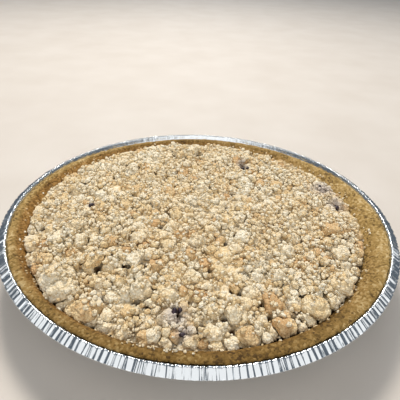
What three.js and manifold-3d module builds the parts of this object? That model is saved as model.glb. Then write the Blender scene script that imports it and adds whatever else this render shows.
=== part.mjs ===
// Apple crumble pie in its foil tin, whole and uncut, standing on a flat surface.
// Millimetres, +Z up, origin at the centre of the tin's underside.
//
// foil_tin  a pressed foil tin: flat floor, sloping pleated wall, and a flange that is pleated all round
// crust     the pressed biscuit-crumb crust, with everything that the crumble hides, as one solid
// crumble   the crumble topping: a low dome with its clumps and crumbs fused on
import * as THREE from "three";
import { mergeVertices } from "three/addons/utils/BufferGeometryUtils.js";
import Module from "manifold-3d";

const wasm = await Module();
wasm.setup();

// Driving dimensions.
const tinHeight = 29.2; // floor underside to the crest of the rim
const floorRadius = 85;
const wallRadius = 104.4; // outside of the wall at its top
const wallHeight = 26;
const ledgeRadius = 106.9; // the ledge that carries the crust's edge
const ledgeHeight = 27.3;
const crestRadius = 108.5; // the rim rises to its crest just outside the crust
const flangeRadius = 113;
const flangeDrop = 2.7; // the flange slopes down from the crest
const rimLift = 1.8; // the rim is bent up at the back
const foil = 0.6;
const flangePleats = 144;
const flangePleatDepth = 0.8;
const wallPleatDepth = 0.35;
const gap = 0.3; // between neighbours that touch

const crustTop = 29.1;
const crustTilt = 0.5; // the crust is higher at the front than at the back
const crustLipRadius = 107;
const crustLip = 28.5; // underside of its outer edge
const crustWave = 0.25; // how uneven the pressed top edge is
const hollowFloor = 21; // the hollow in the crust that the crumble lies in
const hollowFloorRadius = 94.4;
const hollowMouthRadius = 97.4;
const hollowMouth = 24.5;
const innerEdgeRadius = 101; // where the crust's top turns down into the hollow
const innerEdge = 27.6;

const domeTop = 30.6; // the crumble without its clumps
const domeRise = 3.8;
const domeEdgeDrop = 1.6; // extra fall close to the crust
const domeRings = 28;
const largeClump = 13; // a wider clump is given more faces
const smallClumps = 330;
const smallClumpWidth = [7, 14];
const edgeClumps = 66; // close together along the crust
const edgeClumpWidth = [7, 10.5];
const clumpFlatness = 0.72; // height of a clump for its width

// A seeded generator, so that every build gives the same crumble.
function seeded(seed) {
  let state = seed;
  return () => {
    state = (Math.imul(state, 1664525) + 1013904223) >>> 0;
    return state / 4294967296;
  };
}

// A closed surface through rings of points, from a pole (a ring of one point) to a pole.
// Neighbouring rings may have different numbers of points.
function ringSurface(rings) {
  const position = [];
  const starts = [];
  for (const ring of rings) {
    starts.push(position.length / 3);
    for (const p of ring) position.push(p.x, p.y, p.z);
  }
  const index = [];
  for (let i = 0; i + 1 < rings.length; i++) {
    const low = { start: starts[i], count: rings[i].length, at: 0 };
    const high = { start: starts[i + 1], count: rings[i + 1].length, at: 0 };
    const lowSteps = low.count > 1 ? low.count : 0;
    const highSteps = high.count > 1 ? high.count : 0;
    while (low.at < lowSteps || high.at < highSteps) {
      const a = low.start + (low.at % low.count);
      const b = high.start + (high.at % high.count);
      const lowNext = (low.at + 0.5) / lowSteps;
      const highNext = (high.at + 0.5) / highSteps;
      if (high.at >= highSteps || (low.at < lowSteps && lowNext < highNext)) {
        low.at += 1;
        index.push(a, low.start + (low.at % low.count), b);
      } else {
        high.at += 1;
        index.push(a, high.start + (high.at % high.count), b);
      }
    }
  }
  const surface = new THREE.BufferGeometry();
  surface.setAttribute("position", new THREE.Float32BufferAttribute(position, 3));
  surface.setIndex(index);
  return surface;
}

const pole = (z) => [new THREE.Vector3(0, 0, z)];

// A ring of steps points; shape gives the radius and height at each point.
function ring(steps, shape) {
  const points = [];
  for (let k = 0; k < steps; k++) {
    const angle = (2 * Math.PI * k) / steps;
    const { radius, height, turn = 0 } = shape(angle, k);
    points.push(
      new THREE.Vector3(
        radius * Math.cos(angle + turn),
        radius * Math.sin(angle + turn),
        height,
      ),
    );
  }
  return points;
}

// ---- The foil tin.

// Pleats differ in width: each ridge and valley is turned a little from its even place.
const pleatRandom = seeded(7);
const pleatTurn = [];
const pleatSize = [];
for (let k = 0; k < 2 * flangePleats; k++) {
  pleatTurn.push(((pleatRandom() - 0.5) * 1.1 * Math.PI) / (2 * flangePleats));
  pleatSize.push(0.55 + 0.45 * pleatRandom());
}

const flangeRing = (radius, height, depth) =>
  ring(2 * flangePleats, (angle, k) => {
    const side = k % 2 ? 1 : -1;
    const lift = rimLift * (1 - (0.5 - 0.5 * Math.sin(angle)) ** 2);
    return {
      radius: radius - 0.5 * depth * pleatSize[k] * (1 - side),
      height: height + side * depth * pleatSize[k] + lift,
      turn: pleatTurn[k],
    };
  });

// The wall's pleats are half as many, and fade out towards the floor.
const wallRing = (radius, height, depth) =>
  ring(flangePleats, (angle, k) => ({
    radius: radius + (k % 2 ? depth : -depth) * pleatSize[k],
    height,
  }));

const flangeHeight = tinHeight - flangeDrop;
const foilTin = ringSurface([
  pole(0),
  ring(flangePleats / 2, () => ({ radius: floorRadius, height: 0 })),
  wallRing(wallRadius, wallHeight, wallPleatDepth),
  wallRing(ledgeRadius + 0.2, ledgeHeight - foil, 0),
  flangeRing(crestRadius + 0.4, tinHeight - foil, 0),
  flangeRing(flangeRadius, flangeHeight - foil, flangePleatDepth),
  flangeRing(flangeRadius, flangeHeight, flangePleatDepth),
  flangeRing(crestRadius, tinHeight, 0),
  wallRing(ledgeRadius, ledgeHeight, 0),
  wallRing(wallRadius - foil, wallHeight + foil, wallPleatDepth),
  ring(flangePleats / 2, () => ({ radius: floorRadius - foil, height: foil })),
  pole(foil),
]);

// ---- The crust.

const crustSteps = 96;
const plainSteps = 48;

// Slow waves round the rim, from -1 to 1.
const rimWave = (angle) =>
  0.5 * Math.sin(5 * angle + 0.7) +
  0.3 * Math.sin(11 * angle + 2.1) +
  0.2 * Math.sin(23 * angle + 4.4);

// The crust is thicker on one side, so its hollow is a little off centre.
const lean = (angle) =>
  2.2 * Math.cos(angle) + 1.4 * Math.sin(angle) + 0.6 * Math.cos(2 * angle);

// It has shrunk from the tin at the back, and its top is narrowest on the left.
const lipReach = (angle) => -1.5 * Math.max(0, Math.sin(angle)) ** 2;
const edgeShift = (angle) => -1.5 * Math.cos(angle);
const tilt = (angle) => -crustTilt * Math.sin(angle);

const plainRing = (radius, height) => ring(plainSteps, () => ({ radius, height }));
const hollowRing = (radius, height) =>
  ring(plainSteps, (angle) => ({ radius: radius - lean(angle), height }));
const tiltedRing = (radius, height, shift = () => 0) =>
  ring(plainSteps, (angle) => ({ radius: radius + shift(angle), height: height + tilt(angle) }));
const wavyRing = (radius, height, shift = lipReach) =>
  ring(crustSteps, (angle) => ({
    radius: radius + shift(angle) + 0.6 * crustWave * rimWave(angle + 1.3),
    height: height + tilt(angle) + crustWave * rimWave(angle),
  }));
const lipRing = (radius, height) =>
  ring(crustSteps, (angle) => ({ radius: radius + lipReach(angle), height: height + tilt(angle) }));

// Its outside follows the inside of the foil, clear of the pleats.
const insideWall = wallRadius - foil;
const pleatClear = gap + wallPleatDepth;
const crust = ringSurface([
  pole(foil + gap),
  plainRing(floorRadius - foil - pleatClear, foil + gap),
  plainRing(insideWall - pleatClear - 1.6, wallHeight - 1.5),
  plainRing(insideWall - pleatClear, wallHeight + foil + 2 * gap),
  lipRing(crustLipRadius - 0.8, crustLip - 0.3),
  lipRing(crustLipRadius, crustLip),
  wavyRing(crustLipRadius - 0.6, crustTop - 0.25),
  wavyRing(crustLipRadius - 2.2, crustTop),
  wavyRing(crustLipRadius - 3.6, crustTop - 0.3),
  wavyRing(innerEdgeRadius, innerEdge, edgeShift),
  hollowRing(hollowMouthRadius, hollowMouth),
  hollowRing(hollowFloorRadius, hollowFloor),
  pole(hollowFloor),
]);

// ---- The crumble.

// The clumps that stand out, each as x, y and width.
const clumps = [
  [-66, -65, 21],
  [-65, -73, 18],
  [-51, -53, 14],
  [-31, -53, 14],
  [-25, -71, 15],
  [-47, -82, 15],
  [-17, -93, 10],
  [-69, -24, 14],
  [-51, -26, 11],
  [-68, -10, 12],
  [-62, -35, 11],
  [-76, -34, 11],
  [-78, 19, 12],
  [-32, -32, 12],
  [-47, -36, 10],
  [54, -74, 17],
  [71, -60, 16],
  [52, -61, 11],
  [39, -57, 12],
  [75, -35, 14],
  [75, -18, 16],
  [51, -27, 11],
  [58, 5, 13],
  [79, 37, 12],
  [85, 17, 13],
  [37, -86, 12],
  [23, -91, 12],
  [8, -91, 10],
  [-10, 72, 19],
  [14, 65, 12],
  [27, 64, 14],
  [42, 64, 12],
  [-3, -28, 8],
  [-69, 46, 12],
  [-26, 0, 10],
];

// The small clumps lie between them: a row along the crust, and the others on a sunflower spiral.
const goldenAngle = Math.PI * (3 - Math.sqrt(5));
const crowdRandom = seeded(31);
const crowd = [];
for (let i = 0; i < edgeClumps; i++) {
  const [least, most] = edgeClumpWidth;
  const width = least + (most - least) * crowdRandom();
  const angle = ((i + 0.6 * crowdRandom()) * 2 * Math.PI) / edgeClumps;
  const radius = hollowMouthRadius - lean(angle) - 0.4 * width;
  crowd.push([radius * Math.cos(angle), radius * Math.sin(angle), width]);
}
for (let i = 0; i < smallClumps; i++) {
  const [least, most] = smallClumpWidth;
  const width = least + (most - least) * crowdRandom() ** 1.6;
  const angle = i * goldenAngle;
  const reach = hollowMouthRadius - lean(angle) - 0.3 * width;
  const radius = reach * Math.sqrt((i + 0.5) / smallClumps);
  crowd.push([
    radius * Math.cos(angle) + 3 * (crowdRandom() - 0.5),
    radius * Math.sin(angle) + 3 * (crowdRandom() - 0.5),
    width,
  ]);
}

// The dome that the clumps stand on.
const domeHeight = (radius) => {
  const share = radius / hollowMouthRadius;
  return domeTop - domeRise * share ** 2 - domeEdgeDrop * share ** 12;
};

// The dome with the rounded tops of the small clumps on it.
function lumpyHeight(x, y) {
  let rise = 0;
  for (const [cx, cy, width] of crowd) {
    const share = Math.hypot(x - cx, y - cy) / (0.5 * width);
    if (share < 1) rise = Math.max(rise, clumpFlatness * 0.5 * width * Math.sqrt(1 - share ** 2));
  }
  return domeHeight(Math.hypot(x, y)) + rise;
}

const domeRandom = seeded(57);
const lumpyRing = (k) => {
  const start = domeRandom();
  return ring(6 * k, (angle) => {
    const reach = hollowMouthRadius - lean(angle);
    const radius = (reach * (k - 0.15 + 0.3 * domeRandom())) / domeRings;
    const turn = (start + 0.3 * domeRandom()) / k;
    const x = radius * Math.cos(angle + turn);
    const y = radius * Math.sin(angle + turn);
    return { radius, height: lumpyHeight(x, y), turn };
  });
};

const dome = ringSurface([
  pole(hollowFloor),
  plainRing(crustLipRadius, hollowFloor),
  plainRing(crustLipRadius, hollowMouth),
  ...Array.from({ length: domeRings - 1 }, (_, i) => lumpyRing(domeRings - 1 - i)),
  pole(lumpyHeight(0, 0)),
]);

// The room over the crust: no part of the crumble reaches outside it.
const clear = gap + crustWave;
const room = ringSurface([
  pole(hollowFloor + gap),
  hollowRing(hollowFloorRadius - 2 * gap, hollowFloor + gap),
  hollowRing(hollowMouthRadius - 2 * gap, hollowMouth + gap),
  tiltedRing(innerEdgeRadius - clear, innerEdge + clear, edgeShift),
  tiltedRing(crustLipRadius - 4, crustTop + clear),
  tiltedRing(crustLipRadius, crustTop + clear),
  plainRing(crustLipRadius, 2 * crustTop),
  pole(2 * crustTop),
]);

// A clump: a rounded lump with uneven corners, a little wider than high.
function clumpSolid(x, y, width, detail, random) {
  const lump = new THREE.IcosahedronGeometry(width / 2, detail);
  lump.deleteAttribute("normal");
  lump.deleteAttribute("uv");
  const merged = mergeVertices(lump, 1e-3);
  const corners = merged.attributes.position;
  for (let i = 0; i < corners.count; i++) {
    const swell = 0.86 + 0.28 * random();
    corners.setXYZ(
      i,
      corners.getX(i) * swell,
      corners.getY(i) * swell,
      corners.getZ(i) * swell,
    );
  }
  merged.rotateX(random() * 2 * Math.PI);
  merged.rotateZ(random() * 2 * Math.PI);
  merged.scale(1, 1, clumpFlatness);
  const angle = Math.atan2(y, x);
  const reach = hollowMouthRadius + 2 - lean(angle) - 0.5 * width;
  const radius = Math.min(Math.hypot(x, y), reach);
  merged.translate(
    radius * Math.cos(angle),
    radius * Math.sin(angle),
    domeHeight(radius) + 0.1 * width,
  );
  return asManifold(merged);
}

function asManifold(geometry) {
  return new wasm.Manifold(
    new wasm.Mesh({
      numProp: 3,
      vertProperties: geometry.attributes.position.array,
      triVerts: new Uint32Array(geometry.index.array),
    }),
  );
}

function asGeometry(solid) {
  const { vertProperties, triVerts } = solid.getMesh();
  const geometry = new THREE.BufferGeometry();
  geometry.setAttribute("position", new THREE.BufferAttribute(vertProperties, 3));
  geometry.setIndex(new THREE.BufferAttribute(triVerts, 1));
  return geometry;
}

function crumbleSolid() {
  const random = seeded(20);
  const solids = clumps.map(([x, y, width]) =>
    clumpSolid(x, y, width, width > largeClump ? 1 : 0, random),
  );
  return wasm.Manifold.union([asManifold(dome), ...solids]).intersect(asManifold(room));
}

// ---- The pie.

const pie = new THREE.Group();

function addPart(name, geometry, color, roughness, metalness) {
  const material = new THREE.MeshStandardMaterial({ color, roughness, metalness });
  const mesh = new THREE.Mesh(geometry, material);
  mesh.name = name;
  pie.add(mesh);
}

addPart("foil_tin", foilTin, 0xd0d6da, 0.25, 1);
addPart("crust", crust, 0xa8834c, 0.9, 0);
addPart("crumble", asGeometry(crumbleSolid()), 0xcdb68e, 0.95, 0);

export default pie;
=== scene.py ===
import itertools
import math

import bmesh
import bpy
import numpy as np
from mathutils import Matrix, Vector
from mathutils.kdtree import KDTree


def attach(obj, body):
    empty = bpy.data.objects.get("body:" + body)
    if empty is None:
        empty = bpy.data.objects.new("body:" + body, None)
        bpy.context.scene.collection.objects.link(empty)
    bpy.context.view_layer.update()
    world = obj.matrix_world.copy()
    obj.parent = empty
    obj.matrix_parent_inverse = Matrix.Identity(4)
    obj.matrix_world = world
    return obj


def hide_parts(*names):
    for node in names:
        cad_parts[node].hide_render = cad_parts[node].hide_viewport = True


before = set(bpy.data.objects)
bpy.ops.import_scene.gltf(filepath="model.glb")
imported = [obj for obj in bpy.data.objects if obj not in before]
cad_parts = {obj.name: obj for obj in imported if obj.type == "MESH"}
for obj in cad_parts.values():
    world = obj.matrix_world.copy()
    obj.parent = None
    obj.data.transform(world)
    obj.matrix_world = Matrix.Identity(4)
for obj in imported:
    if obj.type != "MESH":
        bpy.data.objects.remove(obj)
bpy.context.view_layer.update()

# ---- Camera, floor and lamps -------------------------------------------------
# The pie is seen from in front and above, close by. The floor is plain and pale. Wide soft panels
# stand in front and behind, a small soft lamp high at the back left casts the shadows between the
# clumps, and a pale grey room fills them.

PICTURE = 400  # pixels each way
FOCAL_PIXELS = 420
EYE = (0, -0.2110, 0.1679)  # metres
pitch, yaw, roll = (math.radians(a) for a in (31.99, -0.10, 2.52))

forward = Vector((math.sin(yaw) * math.cos(pitch), math.cos(yaw) * math.cos(pitch), -math.sin(pitch)))
level = Vector((math.cos(yaw), -math.sin(yaw), 0))
upright = level.cross(forward)
right = math.cos(roll) * level + math.sin(roll) * upright
up = -math.sin(roll) * level + math.cos(roll) * upright

lens = bpy.data.cameras.new("camera")
lens.sensor_fit = "HORIZONTAL"
lens.sensor_width = 36
lens.lens = 36 * FOCAL_PIXELS / PICTURE
camera = bpy.data.objects.new("camera", lens)
camera.matrix_world = Matrix.Translation(EYE) @ Matrix((right, up, -forward)).transposed().to_4x4()
bpy.context.scene.collection.objects.link(camera)
bpy.context.scene.camera = camera


def colour(code):
    """An sRGB hex colour as linear red, green, blue and alpha."""
    parts = [int(code[i : i + 2], 16) / 255 for i in (1, 3, 5)]
    return (*(c / 12.92 if c <= 0.04045 else ((c + 0.055) / 1.055) ** 2.4 for c in parts), 1.0)


def add(tree, kind, settings=None, links=None, stops=None):
    """Adds one node, with its settings, its links and, on a ramp, its colour stops."""
    node = tree.nodes.new("ShaderNode" + kind)
    for name, value in (settings or {}).items():
        if isinstance(name, int) or name in node.inputs:
            node.inputs[name].default_value = value
        else:
            setattr(node, name, value)
    for name, socket in (links or {}).items():
        tree.links.new(socket, node.inputs[name])
    for i, (place, code) in enumerate(stops or []):
        ramp = node.color_ramp.elements
        stop = ramp[i] if i < 2 else ramp.new(place)
        stop.position = place
        stop.color = colour(code)
    return node


def new_material(name):
    material = bpy.data.materials.new(name)
    material.use_nodes = True
    material.node_tree.nodes.clear()
    return material, material.node_tree


def millimetre_pattern(tree):
    """Coordinates in the part's own millimetres, so that a pattern's scale is 1 / its real size."""
    place = add(tree, "TexCoord").outputs["Object"]
    return add(tree, "VectorMath", {"operation": "SCALE", "Scale": 1000}, {0: place}).outputs[0]


def new_object(name, points, faces, material, values=None):
    """A smooth mesh object from points in millimetres, with any per-point values as attributes."""
    mesh = bpy.data.meshes.new(name)
    points = np.asarray(points, float) * 0.001
    faces = np.asarray(faces, np.int32)
    mesh.vertices.add(len(points))
    mesh.vertices.foreach_set("co", points.ravel())
    sides = faces.shape[1]
    mesh.loops.add(faces.size)
    mesh.loops.foreach_set("vertex_index", faces.ravel())
    mesh.polygons.add(len(faces))
    mesh.polygons.foreach_set("loop_start", np.arange(len(faces), dtype=np.int32) * sides)
    mesh.update(calc_edges=True)
    mesh.validate()
    mesh.polygons.foreach_set("use_smooth", np.full(len(mesh.polygons), True))
    for key, value in (values or {}).items():
        held = mesh.attributes.new(key, "FLOAT", "POINT")
        held.data.foreach_set("value", np.asarray(value, np.float32))
    mesh.materials.append(material)
    made = bpy.data.objects.new(name, mesh)
    bpy.context.scene.collection.objects.link(made)
    return made


# Matt pale laminate: even, with only a trace of mottling.
MOTTLE = 60
laminate, tree = new_material("pale_laminate")
mottle = add(tree, "TexNoise", {"Scale": 1 / MOTTLE}, {"Vector": millimetre_pattern(tree)})
tint = add(tree, "ValToRGB", links={"Fac": mottle.outputs["Fac"]}, stops=[(0.3, "#cdc6be"), (0.7, "#d3cdc6")])
board = add(tree, "BsdfPrincipled", {"Roughness": 0.6}, {"Base Color": tint.outputs["Color"]})
add(tree, "OutputMaterial", links={"Surface": board.outputs["BSDF"]})

FLOOR_HALF = 4000
floor_corners = [(x * FLOOR_HALF, y * FLOOR_HALF, 0) for x, y in ((-1, -1), (1, -1), (1, 1), (-1, 1))]
floor = new_object("floor", floor_corners, [(0, 1, 2, 3)], laminate)

# Name, place in metres, width, depth, watts and tint of each lamp. All of them face the pie.
for name, place, width, depth, watts, tint in (
    ("key_softbox", (-0.14, 0.7, 1.12), 0.35, 0.35, 13.5, "#fff6ea"),
    ("back_panel", (0.0, 1.05, 1.4), 1.4, 0.7, 6.5, "#f4f9ff"),
    ("front_panel", (0.0, -0.85, 1.3), 3.3, 1.5, 15.5, "#fffaf4"),
    ("front_card", (0.0, -2.4, 0.8), 3.0, 1.2, 14, "#fffaf4"),
    ("back_card", (0.0, 2.0, 0.75), 0.7, 0.9, 1.6, "#f6faff"),
):
    lamp = bpy.data.lights.new(name, "AREA")
    lamp.shape = "RECTANGLE"
    lamp.size, lamp.size_y = width, depth
    lamp.energy = watts
    lamp.color = colour(tint)[:3]
    stand = bpy.data.objects.new(name, lamp)
    stand.location = place
    stand.rotation_euler = (-Vector(place)).to_track_quat("-Z", "Y").to_euler()
    bpy.context.scene.collection.objects.link(stand)

room = bpy.data.worlds.new("grey_room")
room.use_nodes = True
room.node_tree.nodes["Background"].inputs["Color"].default_value = colour("#97a2ad")
room.node_tree.nodes["Background"].inputs["Strength"].default_value = 0.4
bpy.context.scene.world = room
bpy.context.scene.view_settings.view_transform = "Standard"

# ---- Foil tin ----------------------------------------------------------------
# A disposable tin pressed from one disc of soft foil. The press gathers the spare foil into
# pleats, shallow up the wall and sharp on the flange, and no two are alike.

FLOOR_RADIUS, FLOOR_RAISE = 85.0, 0.5
WALL_RADIUS, WALL_HEIGHT, WALL_PLEAT = 104.4, 26.0, 0.35
CREST_RADIUS, CREST_HEIGHT = 108.6, 28.95
BEND_RADIUS, BEND_HEIGHT = 109.3, 28.85
FLANGE_RADIUS, FLANGE_FALL = 113.0, 2.35
RIM_LIFT = 1.8  # at the back, where the rim is bent up
FRONT_PRESS = 0.4  # how much of their depth the pleats have lost at the front
CREASES = 520  # two to a pleat
CREASE_JITTER, CREASE_SLANT = 0.9, 0.5  # as shares of the creases' spacing
FACET_POINTS = np.array([0, 0.15, 0.85])  # close to the creases, so that the facet between them is flat

tin_draw = np.random.default_rng(7)
crease_pitch = 2 * math.pi / CREASES
crease_angle = (np.arange(CREASES) + CREASE_JITTER * (tin_draw.random(CREASES) - 0.5)) * crease_pitch
crease_slant = CREASE_SLANT * (tin_draw.random(CREASES) - 0.5) * crease_pitch
crease_size = np.where(np.arange(CREASES) % 2, 1, -1) * (0.3 + 0.7 * tin_draw.random(CREASES))


def across_facets(at_creases, whole_turn=0.0):
    """Values at the creases as values at the points of every flat facet between them."""
    after = np.roll(at_creases, -1)
    after[-1] += whole_turn
    return (at_creases[:, None] + (after - at_creases)[:, None] * FACET_POINTS).ravel()


fold = across_facets(crease_size)
even_angle = across_facets(crease_angle, 2 * math.pi)
fold *= 1 - FRONT_PRESS * np.maximum(0, -np.sin(even_angle)) ** 2
edge_angle = even_angle + across_facets(crease_slant)
bent_up = RIM_LIFT * (1 - (0.5 - 0.5 * np.sin(even_angle)) ** 2)
turn_count = len(fold)
rows, reaches = [], []


def tin_row(radius, height, depth=0.0, lifted=0.0, slanted=0.0):
    """One row of points round the tin, pleated by depth. A crease that dips is also drawn in a little."""
    angle = even_angle + slanted * (edge_angle - even_angle)
    reach = radius + 0.4 * depth * (fold - 1)
    pleated = height + depth * fold + lifted * bent_up
    rows.append(np.stack([reach * np.cos(angle), reach * np.sin(angle), pleated], 1))
    reaches.append(np.full(turn_count, radius + height))


# The floor has a raised middle and a raised ring, which stiffen it.
for radius, height in (
    (0.05, FLOOR_RAISE), (28, FLOOR_RAISE), (30, 0), (58, 0), (60, FLOOR_RAISE),
    (FLOOR_RADIUS - 10, FLOOR_RAISE), (FLOOR_RADIUS - 8, 0), (FLOOR_RADIUS - 2.2, 0),
    (FLOOR_RADIUS - 0.4, 0.5), (FLOOR_RADIUS + 1.0, 1.6),
):
    tin_row(radius, height)
for share in np.linspace(0.14, 1, 4):
    wall_radius = FLOOR_RADIUS + share * (WALL_RADIUS - FLOOR_RADIUS)
    tin_row(wall_radius + WALL_PLEAT * share * fold, share * WALL_HEIGHT)

# The ledge that carries the crust's edge, and the rim round it up to its crest and over.
for radius, height, depth, lifted in (
    (105.3, 26.55, 0.1, 0), (107.0, 27.1, 0.15, 0.05), (107.6, 27.8, 0.3, 0.4), (108.1, 28.5, 0.45, 0.8),
    (CREST_RADIUS, CREST_HEIGHT, 0.55, 1), (BEND_RADIUS, BEND_HEIGHT, 0.5, 1),
):
    tin_row(radius, height, depth, lifted)
for share in np.linspace(0.15, 1, 5):
    flange_radius = BEND_RADIUS + share * (FLANGE_RADIUS - BEND_RADIUS)
    tin_row(flange_radius, BEND_HEIGHT - share * FLANGE_FALL, 0.4 + 0.15 * share, 1, share)

# Its cut edge is turned under.
tin_row(FLANGE_RADIUS + 0.2, 26.2, 0.55, 1, 1)
tin_row(FLANGE_RADIUS - 0.5, 25.95, 0.5, 1, 1)


def ring_faces(row_count, row_length):
    """Four-sided faces between closed rows of points."""
    row = np.arange(row_count - 1)[:, None] * row_length
    here = np.arange(row_length)[None, :]
    after = (here + 1) % row_length
    quads = np.stack([row + here, row + after, row + row_length + after, row + row_length + here], -1)
    return quads.reshape(-1, 4)


# Bright household foil: rolled to a soft mirror, streaked along the folds where the press drew it.
# The streaks are far finer on the real foil, and are drawn as coarse as they need to be to show.
STREAK_WIDTH, STREAK_STRETCH, DENT_WIDTH = 1.1, 7, 5
foil, tree = new_material("pressed_foil")
round_way = add(tree, "Attribute", {"attribute_name": "round"}).outputs["Fac"]
along_fold = add(tree, "Attribute", {"attribute_name": "reach"}).outputs["Fac"]
place = add(tree, "CombineXYZ", links={"X": round_way, "Y": along_fold}).outputs["Vector"]
streak = add(tree, "TexNoise", {"Scale": 1 / STREAK_WIDTH, "Detail": 2}, {"Vector": place})
dent = add(tree, "TexNoise", {"Scale": 1 / DENT_WIDTH, "Detail": 1}, {"Vector": millimetre_pattern(tree)})
rough = add(tree, "MapRange", {"To Min": 0.12, "To Max": 0.26}, {"Value": dent.outputs["Fac"]})
relief = add(
    tree, "Math", {"operation": "MULTIPLY_ADD", 1: 0.7}, {0: streak.outputs["Fac"], 2: dent.outputs["Fac"]}
)
bump = add(tree, "Bump", {"Strength": 0.8, "Distance": 0.0006}, {"Height": relief.outputs[0]})
metal = add(
    tree,
    "BsdfPrincipled",
    {"Base Color": colour("#e0e6eb"), "Metallic": 1.0},
    {"Roughness": rough.outputs["Result"], "Normal": bump.outputs["Normal"]},
)
add(tree, "OutputMaterial", links={"Surface": metal.outputs["BSDF"]})

tin = new_object(
    "foil_tin_pressed",
    np.concatenate(rows),
    ring_faces(len(rows), turn_count),
    foil,
    {
        "round": np.tile(even_angle * FLANGE_RADIUS, len(rows)),
        "reach": np.concatenate(reaches) / STREAK_STRETCH,
    },
)
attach(tin, "root")
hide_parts("foil_tin")

# ---- Crust -------------------------------------------------------------------
# Crushed biscuit bound with butter and pressed into the tin by hand, then baked. Its rim is
# rounded, a little uneven and thicker on one side, and every crumb of it shows.

CRUST_TILT = 0.5  # the rim is higher at the front than at the back
CRUST_WAVE = 0.25  # how uneven the rim is
EDGE_SHIFT = 1.5  # how far the inner edge is moved to one side
HOLLOW_MOUTH_RADIUS = 97.4
CRUST_STEPS, CRUST_ROWS = 1600, 37
CRUST_LUMP, CRUST_CRUMB, CRUST_GRAIN = 5.5, 2.0, 1.15


def lean(angle):
    """How much nearer the centre the hollow's wall is than its mean, in millimetres."""
    return 2.2 * np.cos(angle) + 1.4 * np.sin(angle) + 0.6 * np.cos(2 * angle)


def lip_reach(angle):
    """How much further out the lip is, in millimetres: at the back it has shrunk from the tin."""
    return -1.5 * np.maximum(0, np.sin(angle)) ** 2


def rim_wave(angle):
    """How the rim, pressed by hand, rises and falls, from -1 to 1."""
    return 0.5 * np.sin(5 * angle + 0.7) + 0.3 * np.sin(11 * angle + 2.1) + 0.2 * np.sin(23 * angle + 4.4)


def scatter(cells, seed):
    """Four even random numbers for each whole-number cell, always the same for that cell."""
    x, y, z = cells.T
    n = (x * 73856093 ^ y * 19349663 ^ z * 83492791 ^ seed * 2654435761) & 0xFFFFFFFF
    out = []
    for _ in range(4):
        n = (n ^ (n >> 15)) * 2246822519 & 0xFFFFFFFF
        n = (n ^ (n >> 13)) * 3266489917 & 0xFFFFFFFF
        n = n ^ (n >> 16)
        out.append(n / 4294967296.0)
    return np.stack(out, 1)


def grains(points, size, seed):
    """Each point's distance from the nearest grain's centre, in grain sizes, and that grain's own number."""
    cell = np.floor(points / size).astype(np.int64)
    nearest = np.full(len(points), 9.0)
    own = np.zeros(len(points))
    for step in itertools.product((-1, 0, 1), repeat=3):
        there = cell + np.array(step)
        drawn = scatter(there, seed)
        distance = np.linalg.norm(points / size - there - drawn[:, :3], axis=1)
        closer = distance < nearest
        nearest[closer] = distance[closer]
        own[closer] = drawn[closer, 3]
    return nearest, own


def grain_height(nearest):
    """A rounded grain with a groove round it, from 0 in the groove to 1 on top."""
    return np.sqrt(np.clip(1 - (nearest / 0.95) ** 2, 0, 1))


# Radius, height, and how far it follows the lip's reach, the inner edge's shift and the hollow's lean.
crust_profile = np.array([
    (106.4, 27.4, 1, 0, 0), (107.2, 27.8, 1, 0, 0), (107.5, 28.3, 1, 0, 0), (107.2, 28.75, 1, 0, 0),
    (106.2, 29.05, 1, 0, 0), (105.0, 29.1, 1, 0, 0), (103.7, 28.9, 0.8, 0.2, 0), (102.4, 28.35, 0.4, 0.6, 0),
    (101.0, 27.6, 0, 1, 0), (99.9, 26.8, 0, 0.7, 0.3), (98.7, 25.7, 0, 0.3, 0.7), (97.4, 24.5, 0, 0, 1),
    (96.5, 23.2, 0, 0, 1), (95.4, 21.8, 0, 0, 1),
])
along = np.linspace(0, len(crust_profile) - 1, CRUST_ROWS)
corner_number = np.arange(len(crust_profile))
rounded = np.stack([np.interp(along, corner_number, column) for column in crust_profile.T], 1)
rounded[1:-1] = (rounded[:-2] + 2 * rounded[1:-1] + rounded[2:]) / 4
rim_radius, rim_height, with_lip, with_edge, with_hollow = (rounded[:, i : i + 1] for i in range(5))

crust_angle = np.arange(CRUST_STEPS) * 2 * math.pi / CRUST_STEPS
radius = (
    rim_radius
    + 0.6 * CRUST_WAVE * rim_wave(crust_angle + 1.3)
    + with_lip * lip_reach(crust_angle)
    - with_edge * EDGE_SHIFT * np.cos(crust_angle)
    - with_hollow * lean(crust_angle)
)
proud = np.clip((rim_height - 27.4) / 0.9, 0, 1) * (1 - with_edge) + with_edge
height = rim_height + proud * (CRUST_WAVE * rim_wave(crust_angle) - CRUST_TILT * np.sin(crust_angle))
flat_points = np.stack([radius * np.cos(crust_angle), radius * np.sin(crust_angle), height], -1)
flat_points = flat_points.reshape(-1, 3)

slope = np.gradient(rounded[:, :2], axis=0)
slope /= np.linalg.norm(slope, axis=1)[:, None]
outward = np.stack([slope[:, 1], -slope[:, 0]], 1)
facing = np.stack(
    [
        outward[:, :1] * np.cos(crust_angle)[None],
        outward[:, :1] * np.sin(crust_angle)[None],
        outward[:, 1:] + 0 * crust_angle[None],
    ],
    -1,
).reshape(-1, 3)
lump, _ = grains(flat_points, CRUST_LUMP, 11)
coarse, crumb_tone = grains(flat_points, CRUST_CRUMB, 12)
fine, fine_tone = grains(flat_points, CRUST_GRAIN, 13)
rise = (
    0.3 * grain_height(lump)
    + 0.32 * grain_height(coarse) * (0.4 + crumb_tone)
    + 0.35 * grain_height(fine)
    - 0.65
)
crust_points = flat_points + facing * rise[:, None]

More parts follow.
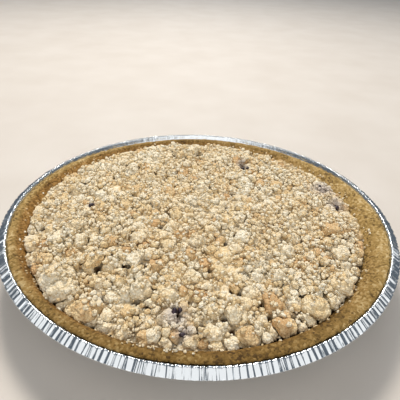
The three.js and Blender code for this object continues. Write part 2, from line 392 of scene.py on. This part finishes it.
# Baked biscuit crumb: dry and dull, a sand of pale, golden and burnt crumbs. It is darker at the
# front and back, partly browned by the oven and partly painted shade where the rim faces away from
# the lamps. Its inner wall carries painted shade, most of all on the left, and the grooves between
# its grains are darkened with painted shade. The finest real crumbs wouldn't show, so the sand is
# drawn in crumbs of about a millimetre.
BROWNED_PATCH, SAND = 16, 1.1
crumb_crust, tree = new_material("baked_biscuit_crumb")
place = millimetre_pattern(tree)
tone = add(tree, "Attribute", {"attribute_name": "tone"})
grain_rise = add(tree, "Attribute", {"attribute_name": "depth"})
browned_and_shade = add(tree, "Attribute", {"attribute_name": "browned_and_shade"})
inner_wall_shade = add(tree, "Attribute", {"attribute_name": "inner_wall_shade"})
patch = add(tree, "TexNoise", {"Scale": 1 / BROWNED_PATCH, "Detail": 2}, {"Vector": place})
sand = add(tree, "TexVoronoi", {"Scale": 1 / SAND}, {"Vector": place})
mixed = add(
    tree, "Math", {"operation": "MULTIPLY_ADD", 1: 0.3}, {0: tone.outputs["Fac"], 2: patch.outputs["Fac"]}
)
mixed = add(
    tree, "Math", {"operation": "MULTIPLY_ADD", 1: 0.8}, {0: sand.outputs["Color"], 2: mixed.outputs[0]}
)
paleness = add(tree, "MapRange", {"From Min": 0.66, "From Max": 1.49}, {"Value": mixed.outputs[0]})
body = add(
    tree,
    "ValToRGB",
    links={"Fac": paleness.outputs[0]},
    stops=[(0.0, "#70582c"), (1.0, "#e9d3a3"), (0.3, "#a78b4e"), (0.65, "#c6a76b")],
)
# Painted shade and oven browning: the rim is darkened at the front and back.
browned_and_shaded = add(
    tree,
    "MixRGB",
    {"blend_type": "MULTIPLY", "Color2": colour("#aa9c7c")},
    {"Fac": browned_and_shade.outputs["Fac"], "Color1": body.outputs["Color"]},
)
# Painted shade on the crust's inner wall, most of all on the left.
wall_shaded = add(
    tree,
    "MixRGB",
    {"blend_type": "MULTIPLY", "Color2": colour("#e5ca9f")},
    {"Fac": inner_wall_shade.outputs["Fac"], "Color1": browned_and_shaded.outputs["Color"]},
)
# Painted shade: the grooves between the crust's grains are darkened.
crust_groove_shade = add(
    tree,
    "MapRange",
    {"From Min": 0.0, "From Max": 0.6, "To Min": 0.57, "To Max": 1.0},
    {"Value": grain_rise.outputs["Fac"]},
)
shaded = add(
    tree,
    "MixRGB",
    {"blend_type": "MULTIPLY", "Fac": 1.0},
    {"Color1": wall_shaded.outputs["Color"], "Color2": crust_groove_shade.outputs["Result"]},
)
relief = add(tree, "Math", {"operation": "MULTIPLY", 1: -1.0}, {0: sand.outputs["Distance"]})
bump = add(tree, "Bump", {"Strength": 0.8, "Distance": 0.0005}, {"Height": relief.outputs[0]})
crumbs = add(
    tree,
    "BsdfPrincipled",
    {"Roughness": 0.8, "Specular IOR Level": 0.3},
    {"Base Color": shaded.outputs["Color"], "Normal": bump.outputs["Normal"]},
)
add(tree, "OutputMaterial", links={"Surface": crumbs.outputs["BSDF"]})

# The rim is darker at the front and back, partly oven browning and partly painted shade where it faces away
# from the lamps. The inner wall is darkened with painted shade, most of all on the left.
to_front, to_side = -np.sin(crust_angle), np.cos(crust_angle)
browned_and_shade_round = 0.36 + 0.15 * to_front - 0.03 * to_side + 0.47 * to_front**2
inner_wall = with_edge + with_hollow
crust = new_object(
    "crumb_crust_rim",
    crust_points,
    ring_faces(CRUST_ROWS, CRUST_STEPS)[:, ::-1],
    crumb_crust,
    {
        "tone": 0.5 * crumb_tone + 0.5 * fine_tone,
        "depth": 0.5 * grain_height(coarse) + 0.5 * grain_height(fine),
        "browned_and_shade": (browned_and_shade_round + 0.1 * inner_wall).ravel(),
        "inner_wall_shade": (np.clip(inner_wall, 0, 1) * (0.42 - 0.38 * to_side)).ravel(),
    },
)
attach(crust, "root")
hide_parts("crust")

# ---- Crumble heap ------------------------------------------------------------
# Flour, butter and sugar rubbed together into crumbs, scattered over the filling and baked. The
# heap fills the hollow to a low dome: clumps first, then crumbs and grains that rolled into place.

DOME_TOP, DOME_RISE, DOME_EDGE_DROP = 30.6, 3.8, 1.6
CLUMP_FLATNESS = 0.72  # height of a clump for its width
SMALL_CLUMPS, SMALL_CLUMP_WIDTH = 330, (7, 14)
EDGE_CLUMPS, EDGE_CLUMP_WIDTH = 66, (7, 10.5)

# x, y and width of the clumps that stand out, as in the part's source.
named_clumps = [
    (-66, -65, 21), (-65, -73, 18), (-51, -53, 14), (-31, -53, 14), (-25, -71, 15), (-47, -82, 15),
    (-17, -93, 10), (-69, -24, 14), (-51, -26, 11), (-68, -10, 12), (-62, -35, 11), (-76, -34, 11),
    (-78, 19, 12), (-32, -32, 12), (-47, -36, 10), (54, -74, 17), (71, -60, 16), (52, -61, 11),
    (39, -57, 12), (75, -35, 14), (75, -18, 16), (51, -27, 11), (58, 5, 13), (79, 37, 12), (85, 17, 13),
    (37, -86, 12), (23, -91, 12), (8, -91, 10), (-10, 72, 19), (14, 65, 12), (27, 64, 14), (42, 64, 12),
    (-3, -28, 8), (-69, 46, 12), (-26, 0, 10),
]

# How toasted the browner ones are, by their place.
roasts = {
    (-47, -82): 0.5, (27, 64): 0.5, (37, -86): 0.55, (75, -18): 0.45, (-3, -28): 0.5, (-47, -36): 0.5,
    (52, -61): 0.35, (23, -91): 0.4, (54, -74): 0.3, (71, -60): 0.25, (-51, -53): 0.3, (58, 5): 0.25,
    (-51, -26): 0.25, (-69, -24): 0.2,
}


def seeded(seed):
    """The same even draws as in the part's source, so that each clump lies where its solid is."""
    state = seed
    while True:
        state = (state * 1664525 + 1013904223) % 4294967296
        yield state / 4294967296


def dome_height(radius):
    share = np.minimum(radius / HOLLOW_MOUTH_RADIUS, 1.03)
    return DOME_TOP - DOME_RISE * share**2 - DOME_EDGE_DROP * share**12


# The heap as a height map, from which every crumb finds what it lies on.
HEAP_STEP, HEAP_HALF = 0.5, 110
heap_size = int(2 * HEAP_HALF / HEAP_STEP)
cell_middle = (np.arange(heap_size) + 0.5) * HEAP_STEP - HEAP_HALF
far_x, far_y = np.meshgrid(cell_middle, cell_middle)
in_hollow = np.hypot(far_x, far_y) < HOLLOW_MOUTH_RADIUS - lean(np.arctan2(far_y, far_x))
heap = np.where(in_hollow, dome_height(np.hypot(far_x, far_y)) - 0.8, 20.0)


def cell_of(value):
    return np.clip(((value + HEAP_HALF) / HEAP_STEP).astype(int), 0, heap_size - 1)


def window(x, y, reach):
    """The part of the height map within reach of a place."""
    low, high = cell_of(np.array([y - reach, x - reach])), cell_of(np.array([y + reach, x + reach])) + 1
    return slice(low[0], high[0]), slice(low[1], high[1])


def settle(x, y, z, half_width, half_height):
    """Raises the height map to the top of a lump."""
    part = window(x, y, half_width)
    share = ((far_x[part] - x) ** 2 + (far_y[part] - y) ** 2) / half_width**2
    top = np.where(share < 1, z + half_height * np.sqrt(np.maximum(1 - share, 0)), 0)
    heap[part] = np.maximum(heap[part], top)


def between(sizes, share):
    """The size at a share of the way from the least to the largest."""
    return sizes[0] + (sizes[1] - sizes[0]) * share


def fineness(x, y):
    """1 in the middle and at the back, where the crumble is finest, and 0 at the front and left."""
    away = ((x - 8) / 62) ** 2 + ((y - 22) / 52) ** 2
    return np.clip(1.35 - away, 0, 1)


def ragged(angle):
    """How far the heap's edge lies out, in millimetres: it was scattered, not cut."""
    waves = 0.6 * np.sin(9 * angle + 1.1) + 0.5 * np.sin(17 * angle + 0.4) + 0.5 * np.sin(31 * angle + 2.6)
    return waves - 0.5


golden_angle = math.pi * (3 - math.sqrt(5))
draw = seeded(31)
small_clumps = []
for i in range(EDGE_CLUMPS):
    width = between(EDGE_CLUMP_WIDTH, next(draw))
    angle = (i + 0.6 * next(draw)) * 2 * math.pi / EDGE_CLUMPS
    reach = HOLLOW_MOUTH_RADIUS - lean(angle) - 0.4 * width
    small_clumps.append((reach * math.cos(angle), reach * math.sin(angle), width))
for i in range(SMALL_CLUMPS):
    width = between(SMALL_CLUMP_WIDTH, next(draw) ** 1.6)
    angle = i * golden_angle
    reach = (HOLLOW_MOUTH_RADIUS - lean(angle) - 0.3 * width) * math.sqrt((i + 0.5) / SMALL_CLUMPS)
    x = reach * math.cos(angle) + 3 * (next(draw) - 0.5)
    y = reach * math.sin(angle) + 3 * (next(draw) - 0.5)
    small_clumps.append((x, y, width))

heap_draw = np.random.default_rng(20)
clumps = []
for named, group in ((True, named_clumps), (False, small_clumps)):
    for x, y, width in group:
        angle = math.atan2(y, x)
        inset = 0.5 * width - 2 if named else 0.36 * width - ragged(angle)
        radius = min(math.hypot(x, y), HOLLOW_MOUTH_RADIUS - lean(angle) - inset)
        roast = roasts.get((x, y), (0.15 if named else 0.6) * heap_draw.random() ** 2)
        z = float(dome_height(radius)) + (0.1 * width if named else 0)
        clumps.append((radius * math.cos(angle), radius * math.sin(angle), z, width, roast, named))
        settle(*clumps[-1][:3], 0.48 * width, 0.48 * CLUMP_FLATNESS * width)

# Deep gaps that nothing fell into, as x, y and half width: the ones that stand out, and a crowd.
SMALL_PITS = 130
pits = [
    (-37, -52.5, 1.4), (-32, -54.5, 1.7), (-27, -54, 1.4), (42.5, -80.5, 1.0), (47, -81.5, 0.9),
    (-64, -6, 1.4), (-9, -81, 1.2), (-21, -75, 1.2), (84, -41, 1.2), (-3, 70, 1.5), (34, -88, 0.9),
    (-20, -69, 1.0), (-65, -16, 1.2), (82, -27, 1.2), (74, 7, 1.2), (28, 54, 1.2), (-17, -39, 1.2),
    (31, -83, 0.9), (-25, -84, 0.9), (-10, -35, 1.1), (-49, -55, 0.9), (-59, -33, 1.1), (84, 10, 1.0),
    (16, -89, 0.8), (0, -89, 0.8), (-78, 44, 1.0), (77, -54, 1.0), (59, -71, 0.9), (50, 36, 1.0),
    (30, -74, 0.8), (20, -68, 0.9), (-27, -76, 0.8), (-31, -70, 0.9), (-80, -42, 1.0),
]
pit_draw = np.random.default_rng(52)
for _ in range(SMALL_PITS):
    angle = pit_draw.random() * 2 * math.pi
    reach = 92 * math.sqrt(pit_draw.random())
    pits.append((reach * math.cos(angle), reach * math.sin(angle), 0.6 + 0.5 * pit_draw.random()))
pits = np.array(pits)


def drop_crumbs(count, sizes, skew, favour, sink, rng):
    """Drops crumbs on the heap one by one, with most near the least size if skew is high.

    A high favour keeps them to the gaps between the clumps, and sink is how far each settles in.
    """
    placed = []
    while len(placed) < count:
        angle = rng.random() * 2 * math.pi
        size = between(sizes, rng.random() ** skew)
        edge = HOLLOW_MOUTH_RADIUS + 1 + ragged(angle) - lean(angle)
        radius = (edge - 0.45 * size) * math.sqrt(rng.random())
        x, y = radius * math.cos(angle), radius * math.sin(angle)
        if (np.hypot(pits[:, 0] - x, pits[:, 1] - y) < pits[:, 2] + 0.35 * size).any():
            continue
        near = heap[window(x, y, 0.3 * size)]
        around = heap[window(x, y, 4.0)]
        if favour * (near.mean() - around.mean()) > rng.normal(0, 1):
            continue
        z = 0.4 * near.max() + 0.6 * near.mean() - sink * size
        placed.append((x, y, z, size, 0.5 * rng.random() ** 2, False))
        settle(x, y, z, 0.46 * size, 0.4 * size)
    return placed


large_crumb_lies = drop_crumbs(620, (3.8, 6.4), 1.3, 1.6, 0.16, heap_draw)
crumb_lies = drop_crumbs(2400, (2.0, 3.8), 1.2, 0.7, 0.08, heap_draw)
grain_lies = drop_crumbs(3800, (0.9, 1.9), 1.5, 0.7, 0.1, heap_draw)

# Crumbs that rolled onto the crust, most of them close to the heap, and a spill on its front.
ROLLED, SPILLED, SPILL_ANGLE = 260, 30, -1.72
for i in range(ROLLED):
    angle = heap_draw.random() * 2 * math.pi
    up_slope = heap_draw.random() ** 2
    size = 0.9 + 1.5 * heap_draw.random() ** 2
    if i < SPILLED:
        angle = SPILL_ANGLE + 0.08 * heap_draw.normal()
        up_slope = 1.0 + 0.8 * heap_draw.random()
        size = 0.9 + 0.9 * heap_draw.random()
    climbed = min(up_slope, 1)
    radius = (
        HOLLOW_MOUTH_RADIUS
        + 3.6 * up_slope
        - (1 - climbed) * lean(angle)
        - climbed * EDGE_SHIFT * math.cos(angle)
    )
    under = np.interp(up_slope, [0, 1, 1.8], [24.6, 27.7, 29.0]) - up_slope * CRUST_TILT * math.sin(angle)
    z = float(under + 0.25 * size)
    roast = 0.4 * heap_draw.random()
    grain_lies.append((radius * math.cos(angle), radius * math.sin(angle), z, size, roast, False))


def spread(field, reach, pick):
    """Each cell's largest, smallest or mean neighbour within reach cells."""
    for axis in (0, 1):
        field = pick([np.roll(field, k, axis) for k in range(-reach, reach + 1)], axis=0)
    return field


# How high the heap's tops are round each place, against which a gap is deep or shallow, and the
# height below which everything is covered. A tall clump doesn't make what is beside it deep.
level_heap = np.minimum(heap, dome_height(np.hypot(far_x, far_y)) + 2.2)
heap_tops = spread(spread(spread(level_heap, 4, np.max), 3, np.mean), 3, np.mean)
covered = spread(heap, 3, np.min)


def openness(points):
    """1 on the heap's tops, falling to 0 deep in the gaps."""
    below = heap_tops[cell_of(points[:, 1]), cell_of(points[:, 0])] - points[:, 2]
    return np.clip(1 - (below - 2.0) / 1.8, 0, 1)


# Where fruit juice has come up, as x, y and reach: the crumb there is grey-lilac.
juicy = np.array([(80, 28, 13), (84, 11, 8), (-9, -84, 9), (-4, -92, 6), (28, 56, 6), (-64, -4, 4)])


def stain(points):
    """1 in the middle of a juicy place, falling to 0 at its reach."""
    away = np.hypot(points[:, None, 0] - juicy[:, 0], points[:, None, 1] - juicy[:, 1]) / juicy[:, 2]
    return np.clip(1 - away, 0, 1).max(1)


# Baked crumble: matt and floury, made of fine grains, pale inside and toasted where it stood
# proud. Deep in the gaps it is darkened with painted shade, and the grooves between its grains
# carry painted shade too. Flour and sugar are finer than would show, so the specks and the grit
# are drawn about a millimetre across.
TOASTED_PATCH, FLOUR_SPECK, GRIT = 19, 1.3, 0.7
pale_to_toasted = [(0.0, "#fffbea"), (1.0, "#e0bc8c"), (0.3, "#fef3d8"), (0.62, "#f2dcaf")]


def crumble_material(name, grain):
    material, tree = new_material(name)
    place = millimetre_pattern(tree)
    tone = add(tree, "Attribute", {"attribute_name": "tone"})
    open_air = add(tree, "Attribute", {"attribute_name": "openness"})
    juice = add(tree, "Attribute", {"attribute_name": "stain"})
    patch = add(tree, "TexNoise", {"Scale": 1 / TOASTED_PATCH, "Detail": 2}, {"Vector": place})
    speckle = {"Scale": 1 / FLOUR_SPECK, "Detail": 3, "Roughness": 0.7}
    flour = add(tree, "TexNoise", speckle, {"Vector": place})
    cells = add(tree, "TexVoronoi", {"Scale": 1 / grain}, {"Vector": place})
    mixed = add(
        tree, "Math", {"operation": "MULTIPLY_ADD", 1: 0.8}, {0: patch.outputs["Fac"], 2: tone.outputs["Fac"]}
    )
    mixed = add(
        tree, "Math", {"operation": "MULTIPLY_ADD", 1: 0.5}, {0: flour.outputs["Fac"], 2: mixed.outputs[0]}
    )
    toasting = add(tree, "MapRange", {"From Min": 0.48, "From Max": 1.38}, {"Value": mixed.outputs[0]})
    body = add(tree, "ValToRGB", links={"Fac": toasting.outputs["Result"]}, stops=pale_to_toasted)
    # Painted shade: the grooves between the grains are darkened.
    grain_groove_shade = add(
        tree,
        "MapRange",
        {"From Min": 0.35, "From Max": 0.8, "To Min": 0.0, "To Max": 0.42},
        {"Value": cells.outputs["Distance"]},
    )
    groove_shaded = add(
        tree,
        "MixRGB",
        {"blend_type": "MULTIPLY", "Color2": colour("#d6bb8a")},
        {"Fac": grain_groove_shade.outputs["Result"], "Color1": body.outputs["Color"]},
    )
    soaked = add(
        tree,
        "MixRGB",
        {"Color2": colour("#cdc1b8")},
        {"Fac": juice.outputs["Fac"], "Color1": groove_shaded.outputs["Color"]},
    )
    # Painted shade: deep in the gaps the crumble is darkened towards a dark brown.
    gap_shade = add(
        tree,
        "MixRGB",
        {"Color1": colour("#442a12")},
        {"Fac": open_air.outputs["Fac"], "Color2": soaked.outputs["Color"]},
    )
    grit = add(tree, "TexNoise", {"Scale": 1 / GRIT, "Detail": 2, "Roughness": 0.6}, {"Vector": place})
    relief = add(
        tree,
        "Math",
        {"operation": "MULTIPLY_ADD", 1: -1.4},
        {0: cells.outputs["Distance"], 2: grit.outputs["Fac"]},
    )
    bump = add(tree, "Bump", {"Strength": 1.0, "Distance": 0.0006}, {"Height": relief.outputs[0]})
    surface = add(
        tree,
        "BsdfPrincipled",
        {"Roughness": 0.85, "Specular IOR Level": 0.3},
        {"Base Color": gap_shade.outputs["Color"], "Normal": bump.outputs["Normal"]},
    )
    add(tree, "OutputMaterial", links={"Surface": surface.outputs["BSDF"]})
    return material


def crumble_piece(name, points, faces, material, tone):
    """One piece of the crumble, shaded by how deep it lies and stained where juice came up."""
    values = {"tone": tone, "openness": openness(points), "stain": stain(points)}
    made = new_object(name, points, faces, material, values)
    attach(made, "root")
    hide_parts("crumble")


# ---- Crumble bed -------------------------------------------------------------
# The settled fine crumb under the clumps. It lies on the filling and is seen at the bottom of
# the gaps and round the edge, a little below the crust's inner edge.

BED_STEP = 0.9
BED_LUMP, BED_CRUMB, BED_GRAIN = 5.0, 2.6, 1.4
PIT_DEPTH = 3.5

side = np.arange(-HOLLOW_MOUTH_RADIUS - 3, HOLLOW_MOUTH_RADIUS + 3, BED_STEP)
grid_x, grid_y = np.meshgrid(side, side)
bed_radius, bed_angle = np.hypot(grid_x, grid_y), np.arctan2(grid_y, grid_x)
inside = bed_radius < HOLLOW_MOUTH_RADIUS - lean(bed_angle) - 0.4
bed = np.stack([grid_x[inside], grid_y[inside], dome_height(bed_radius[inside]) - 2.2], 1)
lump, _ = grains(bed, BED_LUMP, 20)
coarse, _ = grains(bed, BED_CRUMB, 21)
fine, bed_tone = grains(bed, BED_GRAIN, 22)
from_pit = np.hypot(bed[:, None, 0] - pits[:, 0], bed[:, None, 1] - pits[:, 1]) - pits[:, 2]
bed[:, 2] -= PIT_DEPTH * np.clip(1 - from_pit.min(1), 0, 1)
bed[:, 2] += 1.4 * grain_height(lump) + 0.9 * grain_height(coarse) + 0.4 * grain_height(fine)
number = np.full(inside.shape, -1)
number[inside] = np.arange(len(bed))
corners = np.stack([number[:-1, :-1], number[:-1, 1:], number[1:, 1:], number[1:, :-1]], -1).reshape(-1, 4)
corners = corners[(corners >= 0).all(1)]
fine_crumb = crumble_material("fine_baked_crumble", 1.4)
crumble_piece("crumble_bed", bed, corners, fine_crumb, 0.5 * bed_tone)

# ---- Clumps ------------------------------------------------------------------
# Lumps of crumble that stuck together before baking, from pea size to walnut size. Each is a
# knot of smaller lumps covered in crumbs, paler below and toasted on the tops that stood proud.

NAMED_DETAIL, CROWD_DETAIL = 9, 6.5  # a clump's points, as a multiple of its width squared
PRESS_REACH = 1.2  # how far apart two lumps still press, as a multiple of their half widths together
PRESS_SHARPNESS = 10  # of the edges between a lump's pressed faces
GOLDEN_FROM, TOASTED_FROM = 0.06, 0.22  # how roasted a clump of each kind is at least


def ball(count):
    """The points and faces of an even ball of radius 1."""
    step = np.arange(count) + 0.5
    height = 1 - 2 * step / count
    ring = np.sqrt(1 - height**2)
    points = np.stack([ring * np.cos(golden_angle * step), ring * np.sin(golden_angle * step), height], 1)
    made = bmesh.new()
    for point in points:
        made.verts.new(point)
    made.verts.index_update()
    bmesh.ops.convex_hull(made, input=made.verts)
    bmesh.ops.recalc_face_normals(made, faces=made.faces)
    faces = np.array([[v.index for v in f.verts] for f in made.faces])
    made.free()
    return points, faces


def knot(directions, lobes, lobe_size, core, rng):
    """How far a knot of lobes round a core reaches in each direction, for a clump of radius 1."""
    reach = np.full(len(directions), core)
    for centre in rng.normal(size=(lobes, 3)):
        size = lobe_size * (0.6 + 0.8 * rng.random())
        along = directions @ (centre / np.linalg.norm(centre)) * (0.98 - size)
        inner = along**2 - (0.98 - size) ** 2 + size**2
        reach = np.maximum(reach, np.where(inner > 0, along + np.sqrt(np.maximum(inner, 0)), 0))
    return reach


def any_turn(rng, tumbled):
    """A turn about the upright, or every way if tumbled, for points @ turn."""
    spin = Matrix.Rotation(rng.random() * 6.28, 3, "Z")
    if tumbled:
        spin = spin @ Matrix.Rotation(rng.random() * 6.28, 3, "X")
    return np.array(spin).T


# Every lump by its middle and its core's half width, with heights stretched so that each is round.
lies = clumps + large_crumb_lies + crumb_lies
round_lies = np.array([(x, y, z / CLUMP_FLATNESS, 0.44 * width) for x, y, z, width, *_ in lies])
lie_tree = KDTree(len(round_lies))
for i, lie in enumerate(round_lies):
    lie_tree.insert(lie[:3], i)
lie_tree.balance()
widest = round_lies[:, 3].max()


def pressed(points, own, crack):
    """A lump's points drawn in where it meets its neighbours and the deep gaps.

    A crack is left between two lumps, but at every fourth meeting the two are fused.
    """
    middle, half = round_lies[own, :3], round_lies[own, 3]
    from_middle = points / (1, 1, CLUMP_FLATNESS) - middle
    squeeze = np.ones(len(points))
    for _, other, distance in lie_tree.find_range(middle, PRESS_REACH * (half + widest)):
        their_half = round_lies[other, 3]
        if other == own or distance > PRESS_REACH * (half + their_half) or their_half < 0.3 * half:
            continue
        towards = from_middle @ ((round_lies[other, :3] - middle) / distance)
        left = crack if (own + other) % 4 else -crack
        share = (distance**2 + half**2 - their_half**2) / (2 * distance) - left
        squeeze += (np.maximum(towards, 0) / max(share, 0.15 * half)) ** PRESS_SHARPNESS
    to_pit = np.hypot(pits[:, 0] - middle[0], pits[:, 1] - middle[1])
    for x, y, pit_half in pits[to_pit < PRESS_REACH * half + pits[:, 2]]:
        distance = max(math.hypot(x - middle[0], y - middle[1]), 0.01)
        towards = (from_middle[:, 0] * (x - middle[0]) + from_middle[:, 1] * (y - middle[1])) / distance
        squeeze += (np.maximum(towards, 0) / max(distance - pit_half, 0.5 * half)) ** PRESS_SHARPNESS
    return (middle + from_middle * squeeze[:, None] ** (-1 / PRESS_SHARPNESS)) * (1, 1, CLUMP_FLATNESS)


def joined(lumps, margin):
    """Many lumps, each given as points, faces, directions and tone, as one mesh without what lies buried."""
    starts = np.cumsum([0] + [len(lump[0]) for lump in lumps[:-1]])
    points, facing, tone = (np.concatenate([lump[i] for lump in lumps]) for i in (0, 2, 3))
    faces = np.concatenate([lump[1] + start for lump, start in zip(lumps, starts)])
    buried = points[:, 2] < covered[cell_of(points[:, 1]), cell_of(points[:, 0])] - margin
    faces = faces[~buried[faces].all(1)]
    used = np.zeros(len(points), bool)
    used[faces] = True
    return points[used], (np.cumsum(used) - 1)[faces], facing[used], tone[used]


def crumbly(name, lumps, material, size, rise, margin, seed):
    """One piece of many lumps, roughened with crumbs of two sizes."""
    points, faces, facing, tone = joined(lumps, margin)
    coarse, own = grains(points, size, seed)
    fine, finer_own = grains(points, 0.6 * size, seed + 1)
    lift = rise * (grain_height(coarse) * (0.5 + own) - 0.8 + 0.6 * (grain_height(fine) - 0.7))
    tone = tone + 0.16 * (own - 0.5) + 0.08 * (finer_own - 0.5)
    crumble_piece(name, points + facing * lift[:, None], faces, material, tone)


clump_draw = np.random.default_rng(40)
kinds = {"large": [], "pale": [], "golden": [], "toasted": []}
for own, (x, y, z, width, roast, named) in enumerate(clumps):
    directions, faces = ball(int((NAMED_DETAIL if named else CROWD_DETAIL) * width**2))
    fine_share = 0 if named else fineness(x, y)
    lobe_size = (1 - fine_share) * 0.36 + fine_share * np.clip(4.2 / width, 0.2, 0.5)
    reach = knot(directions, int(9 + 1.2 * width), lobe_size, 0.76, clump_draw)
    flatness = CLUMP_FLATNESS - (0.06 if named else 0)
    shape = 0.5 * width * np.array([1, 0.8 + 0.3 * clump_draw.random(), flatness])
    # Its foot is as wide as its middle, so that it stands on what is under it.
    skirt = np.sqrt(np.maximum(1 - np.minimum(directions[:, 2:], 0) ** 2, 0.2)) ** -1 * (1, 1, 0) + (0, 0, 1)
    turn = any_turn(clump_draw, False)
    points = pressed((directions * reach[:, None] * skirt * shape) @ turn + (x, y, z), own, 0.18)
    facing = directions @ turn
    kind = "pale" if roast < GOLDEN_FROM else "golden" if roast < TOASTED_FROM else "toasted"
    toasted_tops = 0.25 * np.clip(facing[:, 2], 0, 1) * (roast + 0.2)
    kinds["large" if named else kind].append((points, faces, facing, roast + toasted_tops))

clumped_crumb = crumble_material("clumped_baked_crumble", 1.2)
crumbly("crumble_large_clumps", kinds["large"], clumped_crumb, size=2.6, rise=0.65, margin=2.6, seed=41)
crumbly("crumble_pale_clumps", kinds["pale"], clumped_crumb, size=2.2, rise=0.55, margin=1.6, seed=43)
crumbly("crumble_golden_clumps", kinds["golden"], clumped_crumb, size=2.2, rise=0.55, margin=1.6, seed=45)
crumbly("crumble_toasted_clumps", kinds["toasted"], clumped_crumb, size=2.2, rise=0.55, margin=1.6, seed=47)

# ---- Crumbs and grains -------------------------------------------------------
# Single crumbs that never joined a clump. They have fallen into the gaps between the clumps and
# lie on their shoulders, and the finest are hardly more than coarse sand.


def crumb_shapes(base, count, rough, rng):
    """A few uneven, angular crumbs of radius 1, to be used over and over."""
    directions, faces = base
    shapes = []
    for _ in range(count):
        reach = knot(directions, 6, 0.5, 0.62, rng) * (1 - rough / 2 + rough * rng.random(len(directions)))
        squash = (1, 0.7 + 0.3 * rng.random(), 0.6 + 0.3 * rng.random())
        shapes.append((directions * reach[:, None] * squash, faces))
    return shapes


def crumb_lumps(lies, shapes, first, crack, rng):
    """A tumbled crumb at each lie. With a crack they are pressed, and first is the first one's number."""
    lumps = []
    for own, (x, y, z, size, roast, _) in enumerate(lies, first):
        points, faces = shapes[int(rng.integers(len(shapes)))]
        points = points @ any_turn(rng, True)
        placed = points * size * 0.6 + (x, y, z)
        if crack:
            placed = pressed(placed, own, crack)
        lumps.append((placed, faces, points, np.full(len(points), roast)))
    return lumps


crumb_draw = np.random.default_rng(61)
crumb_ball = ball(126)
loose_crumb = crumble_material("loose_baked_crumble", 1.2)

shapes = crumb_shapes(crumb_ball, 30, 0.1, crumb_draw)
large_crumbs = crumb_lumps(large_crumb_lies, shapes, len(clumps), 0.15, crumb_draw)
crumbly("crumble_large_crumbs", large_crumbs, loose_crumb, size=1.8, rise=0.3, margin=0.8, seed=69)

shapes = crumb_shapes(ball(32), 30, 0.25, crumb_draw)
crumbs = crumb_lumps(crumb_lies, shapes, len(clumps) + len(large_crumb_lies), 0.1, crumb_draw)
crumbly("crumble_crumbs", crumbs, loose_crumb, size=1.6, rise=0.15, margin=0.5, seed=71)

shapes = crumb_shapes(ball(12), 20, 0.4, crumb_draw)
grit_grains = crumb_lumps(grain_lies, shapes, 0, 0, crumb_draw)
crumbly("crumble_grains", grit_grains, loose_crumb, size=1.2, rise=0.05, margin=0.3, seed=73)

# ---- Fruit bits --------------------------------------------------------------
# A few dark bits of cooked fruit and its skin that have worked up between the crumbs, each only a
# few millimetres across and shiny with juice.

# Cooked berry skin: taut and nearly black, with a purple cast and the gloss of dried juice.
SKIN_WRINKLE = 1.5
berry, tree = new_material("cooked_berry_skin")
skin = add(tree, "TexNoise", {"Scale": 1 / SKIN_WRINKLE, "Detail": 2}, {"Vector": millimetre_pattern(tree)})
tint = add(tree, "ValToRGB", links={"Fac": skin.outputs["Fac"]}, stops=[(0.35, "#1a1118"), (0.65, "#3a2836")])
bump = add(tree, "Bump", {"Strength": 0.5, "Distance": 0.0003}, {"Height": skin.outputs["Fac"]})
glaze = add(
    tree,
    "BsdfPrincipled",
    {"Roughness": 0.3},
    {"Base Color": tint.outputs["Color"], "Normal": bump.outputs["Normal"]},
)
add(tree, "OutputMaterial", links={"Surface": glaze.outputs["BSDF"]})

# x, y and size of each bit.
berry_places = [
    (-9, -83, 4), (-7, -81, 3), (-5, -93, 3), (-64, -5, 3.5), (29, 54, 3), (32, 53, 2.5), (84, 9, 3.5),
    (78, 30, 2),
]
berry_draw = np.random.default_rng(83)
directions, faces = crumb_ball
bits = []
for x, y, size in berry_places:
    resting = heap[window(x, y, 0.4 * size)].max() - 0.3 * size
    shape = directions * knot(directions, 5, 0.5, 0.7, berry_draw)[:, None] * (1, 0.9, 0.8)
    bits.append(shape @ any_turn(berry_draw, True) * 0.55 * size + (x, y, resting))
bit_faces = np.concatenate([faces + i * len(directions) for i in range(len(bits))])
bit_skins = new_object("cooked_berry_bits", np.concatenate(bits), bit_faces, berry)
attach(bit_skins, "root")
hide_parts("crumble")
